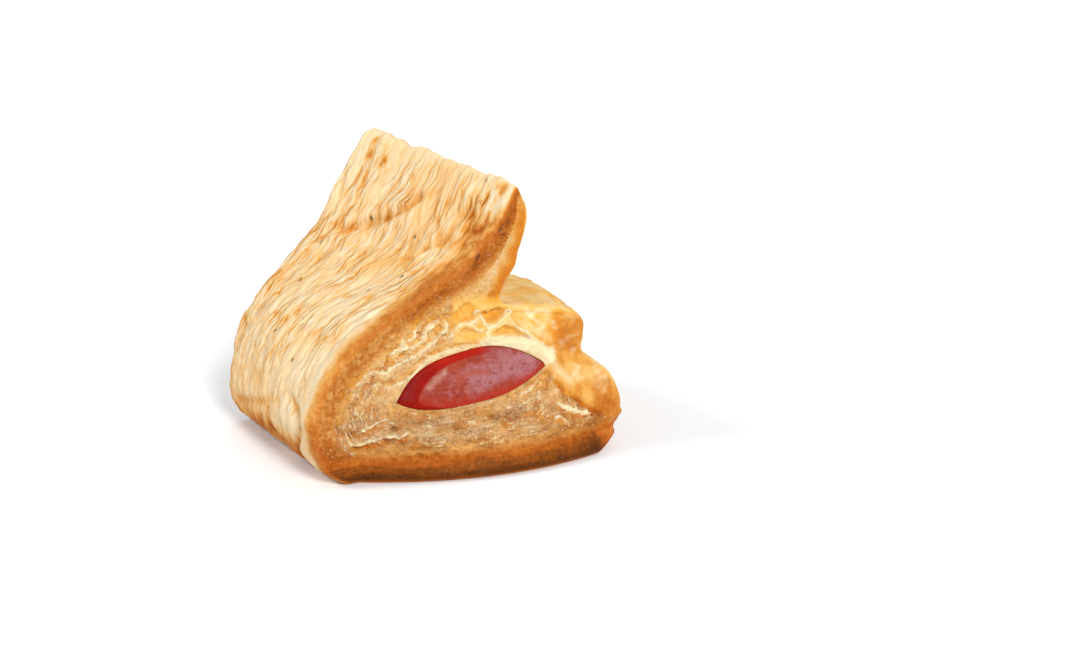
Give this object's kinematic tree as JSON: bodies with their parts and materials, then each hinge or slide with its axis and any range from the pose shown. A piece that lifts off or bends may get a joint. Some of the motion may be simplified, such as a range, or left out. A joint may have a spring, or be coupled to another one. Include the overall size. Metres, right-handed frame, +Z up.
{
  "type": "sausage roll",
  "caption": "Puff pastry folded over a flat piece of sausage, baked open at both ends, with its top flap standing up.",
  "frame": {"origin": "middle of the underside of the bounding box", "axes": "+X from the folded side to the open side, +Y from the shown end to the far end, +Z up"},
  "size_m": [0.0944, 0.0842, 0.0819],
  "materials": {
    "baked_dough": "matte baked crust",
    "sausage_meat": "moist cut meat with a glossy skin"
  },
  "bodies": {
    "root": {"pastry": "baked_dough", "sausage": "sausage_meat"}
  },
  "joints": []
}
